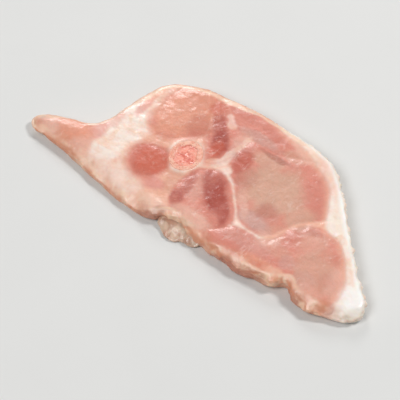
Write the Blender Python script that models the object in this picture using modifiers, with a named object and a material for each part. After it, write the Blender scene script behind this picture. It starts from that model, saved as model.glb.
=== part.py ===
"""A raw, bone-in turkey thigh medallion: one thin slice sawn straight across the thigh.

The slice lies flat, cut face up. It is made of five solids:

    thigh_flesh    the slab of muscles, with a hole where the thigh bone passes through
    skin_fat_rim   the band of skin and fat along the far edge and round the tail
    fat_lobe       a small lobe of fat that hangs out of the near edge
    femur_ring     the hard ring of the cut thigh bone
    femur_marrow   the soft marrow inside that ring

Outlines are drawn in millimetres about the bone's centre: +X runs towards the tail, +Y towards the skin.
An empty then carries all five to where the slice is centred over the origin, with its underside at Z = 0.
"""

import math
from collections import namedtuple

import bmesh
import bpy
import numpy as np

MM = 0.001

# ---------------------------------------------------------------- driving dimensions, in millimetres
THICKNESS = 8.2  # of the slab before it is shaped
EDGE_RADIUS = 2.4  # rounding of the slab's edge, above and below
GRAIN = 2.6  # spacing of the slab's surface points
GAP = 0.3  # clearance between neighbouring solids
BONE_PLACE = (-21.3, -1.756)  # of the bone's centre, once the slice is centred over the origin

BONE_RADII = (7.4, 8.9)  # outside of the bone ring, across X and along Y
BONE_WALL = 2.5  # thickness of the hard ring
BONE_TURN = 12.0  # degrees that the oval bone is turned
BONE_HEIGHT = 8.6  # the hard ring stands a little above the flesh
MARROW_SUNK = 0.5  # and the marrow lies a little below the ring

LOBE_THICKNESS = 4.8
LOBE_EDGE_RADIUS = 1.9
LOBE_GRAIN = 1.3

# ---------------------------------------------------------------- outlines, in millimetres from the bone
SLICE_OUTLINE = (
    (-71.0, -19.6), (-67.8, -15.8), (-56.0, -11.0), (-48.5, -9.6), (-43.2, -4.5),  # the finger at the left
    (-40.6, 6.0), (-38.4, 18.0), (-33.5, 30.0), (-22.0, 37.6),  # up its steep left flank
    (-5.0, 40.4), (12.0, 41.6), (30.0, 40.9), (46.0, 38.8), (56.0, 35.6),  # the far edge
    (69.0, 24.0), (84.5, 7.5), (100.5, -9.0), (111.5, -19.2), (113.4, -25.0), (109.5, -30.6),  # the tail
    (101.0, -33.8), (91.0, -36.0), (83.5, -34.2), (77.6, -30.6), (71.5, -33.4),  # a notch before it
    (56.0, -35.4), (39.0, -34.8), (25.0, -32.0), (12.5, -30.6),  # the near edge, up to a crease
    (5.5, -34.2), (-8.0, -34.4), (-28.0, -30.5), (-50.0, -25.8), (-61.0, -24.6), (-68.4, -23.6),
)
RIM_INNER_EDGE = (  # where the skin's fat meets the flesh, from the far edge round to the tail
    (20.0, 46.0), (26.0, 38.4), (40.0, 35.4), (52.0, 30.2), (62.5, 23.2), (69.0, 13.5),
    (75.0, 3.6), (84.5, 0.8), (92.0, -6.2), (98.5, -15.0), (101.8, -23.5), (101.4, -31.0), (101.5, -42.0),
)
OUTSIDE = ((125.0, -42.0), (125.0, 52.0), (20.0, 52.0))  # closes the rim's region clear of the slice
LOBE_OUTLINE = (
    (10.5, -26.0), (10.0, -33.0), (14.0, -36.6), (21.0, -38.2), (27.5, -36.8), (31.5, -33.6), (31.5, -26.5),
)

# Each muscle swells a little where the knife has let it go, and leaves a shallow seam to its neighbour.
Muscle = namedtuple("Muscle", "centre radii turn swell")  # millimetres and degrees
MUSCLES = (
    Muscle((-13.0, 21.0), (19.0, 15.0), 20.0, 0.9),  # upper left
    Muscle((25.0, 31.0), (25.0, 7.0), -3.0, 0.7),  # top band
    Muscle((58.0, 16.0), (17.0, 6.0), -48.0, 0.7),  # right band
    Muscle((40.0, 3.0), (22.0, 15.0), -38.0, 1.0),  # large round muscle
    Muscle((21.0, -13.0), (18.0, 11.0), -42.0, 0.9),  # dark middle muscle
    Muscle((-13.0, -11.5), (8.5, 10.5), 0.0, 0.8),  # small oval muscle
    Muscle((83.0, -17.0), (21.0, 14.5), -42.0, 0.9),  # tail muscle
    Muscle((54.0, -26.5), (21.0, 7.0), -8.0, 0.7),  # near band
    Muscle((-51.0, -19.5), (21.0, 7.5), -12.0, 0.8),  # finger
    Muscle((-4.0, -27.0), (13.0, 7.0), 0.0, 0.6),  # near left
)


# ---------------------------------------------------------------- curves, meshes and cutters
def flat_outline(loops, height, edge_radius=0.0, spread=0.0, base=0.0):
    """A closed solid mesh: smooth loops, filled, extruded from the base up by the height."""
    curve = bpy.data.curves.new("outline", "CURVE")
    curve.dimensions = "2D"
    curve.fill_mode = "BOTH"
    curve.resolution_u = 4
    curve.extrude = (height / 2 - edge_radius) * MM
    curve.bevel_depth = edge_radius * MM
    curve.bevel_resolution = 2
    curve.offset = (spread - edge_radius) * MM
    for loop in loops:
        spline = curve.splines.new("BEZIER")
        spline.bezier_points.add(len(loop) - 1)
        spline.use_cyclic_u = True
        for knot, (x, y) in zip(spline.bezier_points, loop):
            knot.co = (x * MM, y * MM, 0.0)
            corner = (x, y) in OUTSIDE
            knot.handle_left_type = knot.handle_right_type = "VECTOR" if corner else "AUTO"
    outline = bpy.data.objects.new("outline", curve)
    outline.location.z = (base + height / 2) * MM
    return applied(outline)


def applied(source):
    """The mesh of an object as it is seen, with its place and modifiers applied and loose caps welded."""
    bpy.context.scene.collection.objects.link(source)
    bpy.context.view_layer.update()
    seen = source.evaluated_get(bpy.context.evaluated_depsgraph_get())
    mesh = bpy.data.meshes.new_from_object(seen)
    mesh.transform(source.matrix_world)
    bpy.data.objects.remove(source)
    shell = bmesh.new()
    shell.from_mesh(mesh)
    bmesh.ops.remove_doubles(shell, verts=shell.verts, dist=1e-6)
    bmesh.ops.recalc_face_normals(shell, faces=shell.faces)
    shell.to_mesh(mesh)
    shell.free()
    return mesh


def even_skin(mesh, spacing):
    """Gives a solid an even skin of small faces, so that its surface can be shaped."""
    plain = bpy.data.objects.new("plain", mesh)
    remesh = plain.modifiers.new("even skin", "REMESH")
    remesh.mode = "VOXEL"
    remesh.voxel_size = spacing * MM
    return applied(plain)


def oval(radii, count=12):
    """Points round the turned oval of the bone."""
    turn = math.radians(BONE_TURN)
    points = []
    for k in range(count):
        angle = 2 * math.pi * k / count
        x, y = radii[0] * math.cos(angle), radii[1] * math.sin(angle)
        points.append((x * math.cos(turn) - y * math.sin(turn), x * math.sin(turn) + y * math.cos(turn)))
    return points


# ---------------------------------------------------------------- the slab's form
def smooth_step(low, high, value):
    t = np.clip((value - low) / (high - low), 0.0, 1.0)
    return t * t * (3 - 2 * t)


def muscle_swell(x, y):
    """How far the muscles rise above the seams between them, in millimetres."""
    swell = np.zeros_like(x)
    for muscle in MUSCLES:
        turn = math.radians(muscle.turn)
        from_x, from_y = x - muscle.centre[0], y - muscle.centre[1]
        along = from_x * math.cos(turn) + from_y * math.sin(turn)
        across = from_y * math.cos(turn) - from_x * math.sin(turn)
        reach = (along / muscle.radii[0]) ** 2 + (across / muscle.radii[1]) ** 2
        swell = np.maximum(swell, muscle.swell * np.sqrt(np.clip(1 - reach, 0.0, 1.0)))
    return swell


def thickness_share(x, y):
    """The slice is full in the middle, and thins towards the finger, the tail and the near left edge."""
    finger = 0.26 * smooth_step(-38.0, -70.0, x)
    tail = 0.14 * smooth_step(85.0, 113.0, x)
    near_left = 0.26 * smooth_step(-16.0, -33.0, y) * smooth_step(16.0, -8.0, x)
    wave = 0.03 * np.sin(x / 13.0 + 0.8) + 0.03 * np.sin(y / 9.0 - x / 31.0)
    return 1.0 - finger - tail - near_left + wave


def lift(x, y):
    """How far the underside is off the table, in millimetres: only the finger and two corners curl up."""
    finger = 1.6 * smooth_step(-48.0, -72.0, x)
    shoulder = 0.8 * smooth_step(-26.0, -40.0, x) * smooth_step(8.0, 30.0, y)
    tail = 0.7 * smooth_step(100.0, 113.0, x)
    return finger + shoulder + tail


def shaped_slab():
    """The slab of the whole slice: its points are moved up or down, to the slice's uneven thickness."""
    slab = even_skin(flat_outline([SLICE_OUTLINE], THICKNESS, EDGE_RADIUS), GRAIN)
    points = np.empty(len(slab.vertices) * 3)
    slab.vertices.foreach_get("co", points)
    points = points.reshape(-1, 3)
    x, y, z = points.T / MM
    low, high = z.min(), z.max()
    height = (z - low) / (high - low)
    height[height < 0.02] = 0.0
    top = THICKNESS * thickness_share(x, y) + muscle_swell(x, y) - 0.5
    points[:, 2] = (lift(x, y) + height * top) * MM
    slab.vertices.foreach_set("co", points.ravel())
    slab.update()
    return slab


# ---------------------------------------------------------------- the objects
class Builder:
    """Adds named objects to one collection, all carried by the same empty."""

    def __init__(self, name, carrier, as_cutters=False):
        self.collection = bpy.data.collections.new(name)
        self.carrier = carrier
        self.as_cutters = as_cutters
        bpy.context.scene.collection.children.link(self.collection)

    def add(self, name, mesh):
        piece = bpy.data.objects.new(name, mesh)
        piece.parent = self.carrier
        if self.as_cutters:
            piece.hide_render = True
            piece.display_type = "WIRE"
        self.collection.objects.link(piece)
        return piece


def cut(solid, cutter, operation="DIFFERENCE"):
    boolean = solid.modifiers.new(cutter.name, "BOOLEAN")
    boolean.operation = operation
    boolean.object = cutter


def through(loops, spread=0.0):
    """A cutter's mesh, which runs from well below the slice to well above it."""
    return flat_outline(loops, 3 * THICKNESS, spread=spread, base=-THICKNESS)


def finish(solid, colour, roughness):
    material = bpy.data.materials.new(solid.name)
    material.use_nodes = True
    shader = material.node_tree.nodes["Principled BSDF"]
    shader.inputs["Base Color"].default_value = (*colour, 1.0)
    shader.inputs["Roughness"].default_value = roughness
    shader.inputs["Metallic"].default_value = 0.0
    solid.data.materials.clear()
    solid.data.materials.append(material)
    solid.data.shade_smooth()
    solid.data.set_sharp_from_angle(angle=math.radians(50))


def make_flesh(parts, cutters):
    flesh = parts.add("thigh_flesh", shaped_slab())
    cut(flesh, cutters.add("rim_clearance", through([RIM_INNER_EDGE + OUTSIDE], GAP)))
    cut(flesh, cutters.add("bone_hole", through([oval(BONE_RADII)], GAP)))
    finish(flesh, (0.70, 0.33, 0.26), 0.38)


def make_rim(parts, cutters):
    rim = parts.add("skin_fat_rim", shaped_slab())
    cut(rim, cutters.add("rim_region", through([RIM_INNER_EDGE + OUTSIDE])), "INTERSECT")
    finish(rim, (0.86, 0.74, 0.62), 0.42)


def make_lobe(parts, cutters):
    """A soft lobe that lies on the table and meets the flesh's near side."""
    plain = flat_outline([LOBE_OUTLINE], LOBE_THICKNESS, LOBE_EDGE_RADIUS)
    lobe = parts.add("fat_lobe", even_skin(plain, LOBE_GRAIN))
    cut(lobe, cutters.add("lobe_clearance", through([SLICE_OUTLINE], GAP)))
    finish(lobe, (0.80, 0.68, 0.54), 0.42)


def make_bone(parts):
    """The ring and the marrow run through the slice, from the table to just above the flesh."""
    inside = [radius - BONE_WALL for radius in BONE_RADII]
    core = [radius - GAP for radius in inside]
    ring = parts.add("femur_ring", flat_outline([oval(BONE_RADII), oval(inside)], BONE_HEIGHT, 0.35))
    marrow = parts.add("femur_marrow", flat_outline([oval(core)], BONE_HEIGHT - MARROW_SUNK, 0.5))
    finish(ring, (0.84, 0.60, 0.50), 0.45)
    finish(marrow, (0.70, 0.24, 0.18), 0.40)


def main():
    for old in list(bpy.data.objects):
        bpy.data.objects.remove(old)
    carrier = bpy.data.objects.new("slice", None)
    carrier.location = (BONE_PLACE[0] * MM, BONE_PLACE[1] * MM, 0.0)
    bpy.context.scene.collection.objects.link(carrier)
    parts = Builder("turkey_medallion", carrier)
    cutters = Builder("cutters", carrier, as_cutters=True)
    make_flesh(parts, cutters)
    make_rim(parts, cutters)
    make_lobe(parts, cutters)
    make_bone(parts)


main()
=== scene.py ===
# %% [markdown]
# # A raw turkey thigh medallion
#
# A medallion is one slice sawn straight across a turkey's thigh: several muscles held together by white
# seams, the cut thigh bone with its marrow, a band of skin and fat on one side, and a finger of meat on
# the other. The slice is about 184 mm long and 8 mm thick. A slice could be sculpted by hand, but then
# nothing in it could be changed later. This lesson draws it as an anatomist would, from outlines and
# distances. It first loads the plain model, which fixes every size and place, and then gives each of its
# parts a fine surface and a finish of its own.

# %% Load the frame
import math
from collections import namedtuple

import bmesh
import bpy
import numpy as np
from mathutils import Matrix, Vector, noise


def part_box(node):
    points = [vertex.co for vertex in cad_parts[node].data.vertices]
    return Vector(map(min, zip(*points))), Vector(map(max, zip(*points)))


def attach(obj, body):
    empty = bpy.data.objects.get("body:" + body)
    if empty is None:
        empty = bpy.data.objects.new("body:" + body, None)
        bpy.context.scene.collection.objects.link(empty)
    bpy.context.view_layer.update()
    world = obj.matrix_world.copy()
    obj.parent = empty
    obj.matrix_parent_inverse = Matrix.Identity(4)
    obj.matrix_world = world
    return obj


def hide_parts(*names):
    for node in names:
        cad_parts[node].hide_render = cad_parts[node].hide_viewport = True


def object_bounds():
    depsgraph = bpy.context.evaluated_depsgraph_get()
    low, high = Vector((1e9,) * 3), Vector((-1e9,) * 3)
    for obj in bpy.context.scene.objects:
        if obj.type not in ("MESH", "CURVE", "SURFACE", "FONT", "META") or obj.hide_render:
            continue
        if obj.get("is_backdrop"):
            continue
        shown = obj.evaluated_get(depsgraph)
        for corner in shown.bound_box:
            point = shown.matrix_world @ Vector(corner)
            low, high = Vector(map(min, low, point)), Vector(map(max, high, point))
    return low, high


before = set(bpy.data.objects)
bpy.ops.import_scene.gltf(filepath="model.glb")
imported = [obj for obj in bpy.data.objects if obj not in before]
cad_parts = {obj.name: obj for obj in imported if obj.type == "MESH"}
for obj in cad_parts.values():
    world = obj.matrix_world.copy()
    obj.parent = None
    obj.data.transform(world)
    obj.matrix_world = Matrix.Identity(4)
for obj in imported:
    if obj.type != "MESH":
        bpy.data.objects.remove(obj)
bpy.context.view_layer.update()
MM = 0.001
print("the frame's parts are", ", ".join(sorted(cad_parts)))

# %% [markdown]
# ## One drawing board for all parts
#
# Anatomy is easiest to draw around a landmark. Here the landmark is the centre of the bone, and every
# outline below is in millimetres from it, with +x towards the fatty tail and +y towards the skin. The
# frame says where the bone is, so nothing has to be fitted later.

# %% The bone is the landmark
ring_low, ring_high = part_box("femur_ring")
BONE = np.array([(ring_low.x + ring_high.x) / 2, (ring_low.y + ring_high.y) / 2, 0.0]) / MM
BONE_TOP = ring_high.z / MM
print("the bone's centre is at", BONE.round(2), "mm, and its top at", round(BONE_TOP, 2), "mm")

# %% [markdown]
# ## The outlines
#
# The slice's edge is a closed smooth curve through a few points, as many as its bends need. A second
# curve parts the skin's fat from the flesh, and runs far outside where nothing has to be parted. Both
# are the ones that the plain model was cut from, so that the fine surfaces stay inside its sizes. The
# third outline is the scrap of fat under the near edge, with a wavier lip than the plain one.

# %% Outlines of the slice, of the rim's region and of the scrap
SLICE_OUTLINE = (
    (-71, -19.6), (-67.8, -15.8), (-56, -11), (-48.5, -9.6), (-43.2, -4.5), (-40.6, 6), (-38.4, 18),
    (-33.5, 30), (-22, 37.6), (-5, 40.4), (12, 41.6), (30, 40.9), (46, 38.8), (56, 35.6), (69, 24),
    (84.5, 7.5), (100.5, -9), (111.5, -19.2), (113.4, -25), (109.5, -30.6), (101, -33.8), (91, -36),
    (83.5, -34.2), (77.6, -30.6), (71.5, -33.4), (56, -35.4), (39, -34.8), (25, -32), (12.5, -30.6),
    (5.5, -34.2), (-8, -34.4), (-28, -30.5), (-50, -25.8), (-61, -24.6), (-68.4, -23.6),
)
RIM_INNER_EDGE = (
    (20, 46), (26, 38.4), (40, 35.4), (52, 30.2), (62.5, 23.2), (69, 13.5), (75, 3.6), (84.5, 0.8),
    (92, -6.2), (98.5, -15), (101.8, -23.5), (101.4, -31), (101.5, -42),
)
OUTSIDE = ((125, -42), (125, 52), (20, 52))
RIM_REGION = RIM_INNER_EDGE + OUTSIDE
SCRAP_OUTLINE = (
    (9.5, -29), (9.4, -33.6), (12.6, -35.6), (16.4, -37.8), (21, -38), (24.6, -36.2), (28.6, -36.4),
    (32.2, -33.6), (31.5, -29),
)
THICKNESS = 8.2
EDGE_RADIUS = 2.4
print("the slice's edge runs through", len(SLICE_OUTLINE), "points")

# %% [markdown]
# ## From an outline to a plain solid
#
# Blender's 2D curves fill themselves. With some extrusion and a bevel, such a curve is a slab with
# rounded edges, and its offset grows or shrinks the slab without a new outline. That makes it the
# quickest way to cut a slice, a hole or a region of it. The curve is then turned into a mesh, because
# only a mesh can be sculpted.

# %% Outlines to slabs
CURVE_STEPS, BEVEL_STEPS = 8, 4
WELD = 1e-6  # metres; a curve's caps meet its sides this closely


def applied(source):
    """The mesh of an object as it is seen, with its place and modifiers applied and loose caps welded."""
    bpy.context.scene.collection.objects.link(source)
    bpy.context.view_layer.update()
    seen = source.evaluated_get(bpy.context.evaluated_depsgraph_get())
    mesh = bpy.data.meshes.new_from_object(seen)
    mesh.transform(source.matrix_world)
    bpy.data.objects.remove(source)
    shell = bmesh.new()
    shell.from_mesh(mesh)
    bmesh.ops.remove_doubles(shell, verts=shell.verts, dist=WELD)
    bmesh.ops.recalc_face_normals(shell, faces=shell.faces)
    shell.to_mesh(mesh)
    shell.free()
    return mesh


def flat_slab(loops, height, edge_radius=0.0, spread=0.0, base=0.0):
    """A closed solid mesh: smooth loops, filled, extruded from the base up by the height."""
    curve = bpy.data.curves.new("outline", "CURVE")
    curve.dimensions = "2D"
    curve.fill_mode = "BOTH"
    curve.resolution_u = CURVE_STEPS
    curve.extrude = (height / 2 - edge_radius) * MM
    curve.bevel_depth = edge_radius * MM
    curve.bevel_resolution = BEVEL_STEPS
    curve.offset = (spread - edge_radius) * MM
    for loop in loops:
        spline = curve.splines.new("BEZIER")
        spline.bezier_points.add(len(loop) - 1)
        spline.use_cyclic_u = True
        for knot, (x, y) in zip(spline.bezier_points, loop):
            knot.co = (x * MM, y * MM, 0.0)
            corner = (x, y) in OUTSIDE
            knot.handle_left_type = knot.handle_right_type = "VECTOR" if corner else "AUTO"
    outline = bpy.data.objects.new("outline", curve)
    outline.location.z = (base + height / 2) * MM
    return applied(outline)


plain_slab = flat_slab([SLICE_OUTLINE], THICKNESS, EDGE_RADIUS)
print("the plain slab has", len(plain_slab.polygons), "faces")

# %% [markdown]
# ## An even skin for sculpting
#
# The plain slab's faces are long slivers, and pushing their points about would only crease them. A voxel
# remesh lays an even skin of small quads over the solid instead, whatever its holes and corners. Half a
# millimetre is fine enough for the seams between muscles, and keeps each piece under 200,000 triangles.
# Cuts are made first, with Boolean modifiers, so that the skin closes over the cut walls too.

# %% Fine solids
GRAIN = 0.52  # spacing of the slab's fine surface, in millimetres
FINE_GRAIN = 0.25  # the same for the small parts


def through(loops, spread=0.0):
    """A cutter that runs from well below the slice to well above it."""
    return flat_slab(loops, 3 * THICKNESS, spread=spread, base=-THICKNESS)


def fine_solid(mesh, cuts=(), spacing=GRAIN):
    """Cuts a plain solid with (mesh, operation) pairs, then gives it an even skin of small quads."""
    plain = bpy.data.objects.new("plain", mesh)
    cutters = []
    for cutter_mesh, operation in cuts:
        cutter = bpy.data.objects.new("cutter", cutter_mesh)
        bpy.context.scene.collection.objects.link(cutter)
        cutters.append(cutter)
        boolean = plain.modifiers.new("cut", "BOOLEAN")
        boolean.operation = operation
        boolean.object = cutter
    remesh = plain.modifiers.new("even skin", "REMESH")
    remesh.mode = "VOXEL"
    remesh.voxel_size = spacing * MM
    fine = applied(plain)
    for cutter in cutters:
        bpy.data.objects.remove(cutter)
    return fine


print("the surfaces are", GRAIN, "mm fine on the slab and", FINE_GRAIN, "mm fine on the bone")

# %% [markdown]
# ## Points as arrays
#
# Sculpting by code means moving tens of thousands of points by a rule, and a loop over them in Python
# would take minutes. Blender can hand all of a mesh's points to NumPy at once and take them back. It can
# also keep any number with each point, which a material then reads by name.

# %% Points out of a mesh and back
def points_of(mesh):
    """A mesh's points in millimetres, one row each."""
    points = np.empty(len(mesh.vertices) * 3)
    mesh.vertices.foreach_get("co", points)
    return points.reshape(-1, 3) / MM


def set_points(mesh, points):
    mesh.vertices.foreach_set("co", (points * MM).ravel())
    mesh.update()


def normals_of(mesh):
    normals = np.empty(len(mesh.vertices) * 3)
    mesh.vertex_normals.foreach_get("vector", normals)
    return normals.reshape(-1, 3)


def store(mesh, **fields):
    """Keeps numbers for each point on the mesh, for its material to read by name."""
    for name, values in fields.items():
        attribute = mesh.attributes.new(name, "FLOAT", "POINT")
        attribute.data.foreach_set("value", np.asarray(values, np.float32))


print("the plain slab's points reach up to", points_of(plain_slab)[:, 2].max().round(2), "mm")

# %% [markdown]
# ## Ramps and distances
#
# Meat has no hard borders: a muscle fades into its seam, and an edge into the top. Two tools make all of
# them. One is the distance from a point to a drawn outline, and the other is a ramp that turns a
# distance into a smooth 0 to 1.

# %% Ramps, smooth loops and distances
def smooth_step(low, high, value):
    """0 at the low value, 1 at the high one, smooth between. It runs down if low is above high."""
    t = np.clip((value - low) / (high - low), 0.0, 1.0)
    return t * t * (3 - 2 * t)


def smooth_loop(knots, steps=6):
    """Points along a closed smooth curve through the knots (Catmull-Rom)."""
    knots = np.array(knots)
    before, after, beyond = np.roll(knots, 1, 0), np.roll(knots, -1, 0), np.roll(knots, -2, 0)
    loop = []
    for t in np.arange(steps) / steps:
        linear = (after - before) * t
        square = (2 * before - 5 * knots + 4 * after - beyond) * t ** 2
        cube = (3 * knots - before - 3 * after + beyond) * t ** 3
        loop.append(knots + (linear + square + cube) / 2)
    return np.stack(loop, 1).reshape(-1, 2)


def signed_distance(points, loop):
    """How far each point lies inside a closed loop, in millimetres; negative outside."""
    x, y = points[:, :1], points[:, 1:2]
    ax, ay = loop[:, 0], loop[:, 1]
    bx, by = np.roll(ax, -1), np.roll(ay, -1)
    dx, dy = bx - ax, by - ay
    share = np.clip(((x - ax) * dx + (y - ay) * dy) / (dx * dx + dy * dy), 0.0, 1.0)
    nearest = np.hypot(x - ax - share * dx, y - ay - share * dy).min(1)
    crosses = ((ay > y) != (by > y)) & (x < ax + (y - ay) * dx / np.where(dy == 0, 1e-9, dy))
    return np.where(crosses.sum(1) % 2 == 1, nearest, -nearest)


slice_loop, rim_loop = smooth_loop(SLICE_OUTLINE), smooth_loop(RIM_REGION)
depth_of_bone = signed_distance(np.zeros((1, 3)), slice_loop)[0]
print("the bone's centre is", round(depth_of_bone, 1), "mm inside the slice's edge")

# %% [markdown]
# ## Soft ovals and noise
#
# Colours in meat come in soft clouds: a dark patch near the bone, a pale one by the skin. An oval places
# one. It is written as a row of its centre's x and y, its two radii, its turn in degrees and its
# strength, and the last two can be left out. Fractal noise takes the evenness out of the ovals, as it
# does out of every edge and surface below. It has a fixed pattern, so each run gives the same slice.

# %% Ovals and noise
Oval = namedtuple("Oval", "x y along across turn strength", defaults=(0, 1))
OVAL_STARTS = -0.1  # an oval's mask begins this little outside its edge


def oval_depth(points, oval):
    """1 at an oval's centre, falling to 0 at its edge and below 0 outside."""
    angle = math.radians(oval.turn)
    from_x, from_y = points[:, 0] - oval.x, points[:, 1] - oval.y
    along = from_x * math.cos(angle) + from_y * math.sin(angle)
    across = from_y * math.cos(angle) - from_x * math.sin(angle)
    return 1 - np.hypot(along / oval.along, across / oval.across)


def soft_ovals(points, rows, uneven, softness=0.5):
    """A mask from 0 to 1 for rows of ovals, strongest at their centres."""
    mask = np.zeros(len(points))
    for oval in (Oval(*row) for row in rows):
        depth = oval_depth(points, oval) + uneven
        mask = np.maximum(mask, oval.strength * smooth_step(OVAL_STARTS, softness, depth))
    return mask


def fractal(points, size, octaves=3, shift=0.0):
    """Smooth noise of about -1 to 1 at each point; size is its coarsest grain in millimetres."""
    return np.array([noise.fractal(p, 1.0, 2.0, octaves) for p in (points / size + shift).tolist()])


print("noise at the bone's centre is", fractal(np.zeros((1, 3)), 10.0, shift=0.5).round(3)[0])

# %% [markdown]
# ## The muscles
#
# A slice of thigh is a map: each muscle is an island, and what lies between the islands is fascia and
# fat. So only the muscles are drawn. Where two of them meet, a seam runs along the middle between them,
# and where they part there is a pad of fat, without drawing either. Each muscle also has a softness: how
# many millimetres its colour takes to fade into the fat around it.

# %% Outlines of the muscles
Muscle = namedtuple("Muscle", "softness outline")
MUSCLES = {
    "finger": Muscle(3.6, (
        (-70, -19.2), (-65.5, -14.9), (-58, -12), (-51, -11.4), (-46, -13), (-42.5, -17), (-40.5, -22),
        (-38.5, -27.6), (-44, -28.4), (-52, -26.2), (-61, -24.6))),
    "upper_left": Muscle(3.8, (
        (-24.6, 34), (-26.4, 26), (-25.4, 16), (-24, 9), (-20.4, 5), (-13.8, 4.6), (-8.8, 8.8),
        (-4.2, 12.8), (-1.6, 17), (-3, 22.4), (-5.2, 28), (-7, 34), (-9.6, 40.5), (-17.6, 40),
        (-24, 38))),
    "streak": Muscle(3.6, (
        (-7.5, 35), (-1, 33), (3.4, 28), (9.6, 25.2), (14.8, 20.8), (14.6, 14.4), (12.4, 8.8), (9, 4.8),
        (6, 9.2), (2.6, 14.6), (-1.8, 19.6), (-6, 26))),
    "top_band": Muscle(1.6, (
        (-6, 40.5), (8, 42), (22, 42.5), (34, 41), (43, 37.6), (49, 32.6), (42, 28.6), (32, 25.6),
        (24.2, 25.2), (17, 26.4), (11, 25), (6.4, 29.6), (0.8, 34.6))),
    "round": Muscle(1.4, (
        (18.8, 21.5), (18.1, 13.4), (19.8, 7.6), (23.4, 3.8), (27.9, 0.8), (32, -3.9), (35.5, -8.5),
        (38.8, -12.5), (42.6, -15.2), (48.4, -16.4), (52.8, -16), (56.4, -12.6), (58.8, -7.2),
        (61.2, -1.6), (65, 3.2), (69, 7.4), (69, 13.8), (63.4, 21.4), (56, 27), (48, 30.4), (41, 28.2),
        (35, 25), (28.6, 23.8), (22.8, 24))),
    "dark_middle": Muscle(1.6, (
        (10.6, -2.9), (8.4, -9.6), (8, -17.8), (10.4, -24.4), (15.2, -28.6), (22.4, -29.6), (30, -29),
        (35, -24.6), (38.6, -19.8), (35.4, -13.8), (31.4, -8.4), (27.4, -4.2), (22.8, -1), (17, 0.6))),
    "tail": Muscle(1.6, (
        (33, -30), (36.8, -25.4), (41, -21.2), (47.4, -20.3), (54.8, -20), (60, -16.2), (62, -10.8),
        (64.4, -4.8), (68.8, -0.4), (77.4, 0.4), (84, -1.6), (90.4, -7.2), (96, -14.4), (99.8, -21.4),
        (100.4, -28.4), (97.6, -34.4), (90, -36.4), (84, -34.4), (78, -30), (71, -33.6), (60, -35.4),
        (48, -35), (38, -33.6))),
    "oval": Muscle(3.6, (
        (-20.4, -10.6), (-18.2, -6), (-12.6, -3.8), (-6.8, -5.6), (-4.4, -11.4), (-6.6, -17.4),
        (-12.6, -19.8), (-18.2, -16.4))),
}
muscle_loops = [smooth_loop(muscle.outline) for muscle in MUSCLES.values()]
softness = np.array([muscle.softness for muscle in MUSCLES.values()])
print(len(MUSCLES), "muscles are drawn:", ", ".join(MUSCLES))

# %% [markdown]
# ## White seams and streaks of fat
#
# Most seams are only a thin pink membrane. A few are thick, white and easy to see, as the one that runs
# down from the bone between the two large muscles. Ovals mark where seams are white and wide, and more
# ovals add the small islands of fat that no gap between muscles would give.

# %% Where seams are white, and where fat lies on its own
WHITE_SEAMS = (
    (19.2, 4.6, 4.6, 5.2), (29, -5.6, 19, 5, -52), (46, -18.4, 12.5, 4, -2, 0.85),
    (60, -9, 4, 10, -20, 0.12), (70, 3, 10, 4.5, 0, 0.6), (16, 15, 3.4, 13, -8, 0.5),
)
FAT_STREAKS = (
    (3.4, 29.4, 4.4, 1.9, -56, 0.85), (5.8, 26.4, 3.4, 2.4, -40, 0.8), (19.6, 4.6, 2.6, 3.4, 25, 0.95),
    (12, 1.6, 3.6, 2, 20, 0.6), (14.4, 10, 1.7, 6, -10, 0.7), (16.4, 19.6, 1.7, 8, -12, 0.6),
    (11.4, 5.4, 1.4, 5, -50, 0.7), (72, -31.4, 7.5, 3.8, 0, 0.9),
)
print(len(WHITE_SEAMS), "stretches of seam are white, and", len(FAT_STREAKS), "streaks of fat are added")

# %% [markdown]
# ## Reading the map
#
# Muscle walls lean a little as they run through the slice, so each point is first carried along that
# lean: the underside then shows the same muscles, slightly shifted, as a real slice does. The two
# muscles that a point is deepest in say the rest. Half of their difference is the distance from the seam,
# and where neither is near, the point lies in fat.

# %% The map at any point
LEAN = (0.16, 0.10)  # sideways shift of a muscle wall for each millimetre of depth, along x and y
THIN_SEAM, WHITE_SEAM = 0.5, 2.2  # half widths in millimetres
THIN_SEAM_SHOWS = 0.14
Map = namedtuple("Map", "place inside seam near_both white fat")


def slanted(points):
    """Points moved along the lean of the muscle walls, and a little at random."""
    below = THICKNESS - points[:, 2]
    bent = points.copy()
    bent[:, 0] += LEAN[0] * below + 0.6 * fractal(points, 12.0, 3, 3.0)
    bent[:, 1] += LEAN[1] * below + 0.6 * fractal(points, 12.0, 3, 8.0)
    return bent


def read_map(points):
    """What lies at each point: muscle, seam or fat."""
    place = slanted(points)
    depths = np.stack([signed_distance(place, loop) for loop in muscle_loops], 1)
    wander = 0.35 * fractal(points, 2.5, 2, 4.0)
    meat = smooth_step(-1.2, 0.3, (depths + 0.9 + wander[:, None]) / softness).max(1)
    second, first = np.sort(depths, 1)[:, -2:].T
    seam = (first - second) / 2
    near_both = smooth_step(-3.0, -1.2, second)
    white = soft_ovals(place, WHITE_SEAMS, 0.0, 0.35)
    width = THIN_SEAM + (WHITE_SEAM - THIN_SEAM) * white + 0.6 * wander
    line = near_both * smooth_step(width, -0.2, seam) * (THIN_SEAM_SHOWS + (1 - THIN_SEAM_SHOWS) * white)
    streaks = soft_ovals(place, FAT_STREAKS, 0.8 * wander, 0.45)
    fat = np.maximum.reduce([1 - meat, line, streaks])
    return Map(place, first, seam, near_both, white, fat)


landmarks = {"fat pad": (-34.0, 0.0, THICKNESS), "round muscle": (45.0, 5.0, THICKNESS)}
for name, share in zip(landmarks, read_map(np.array(list(landmarks.values()))).fat):
    print(f"at the {name}, the share of fat is {share:.2f}")

# %% [markdown]
# ## The slab's thickness
#
# The saw leaves the slice nearly even: full in the middle, thinner at the finger, the tail and the near
# left edge. Soft meat doesn't keep a square edge either. The top sags towards it, unevenly, and most
# where the slice is thin, as along the tail. The thickness is a share of the full one, with slow waves,
# and the sag is taken off.

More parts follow.
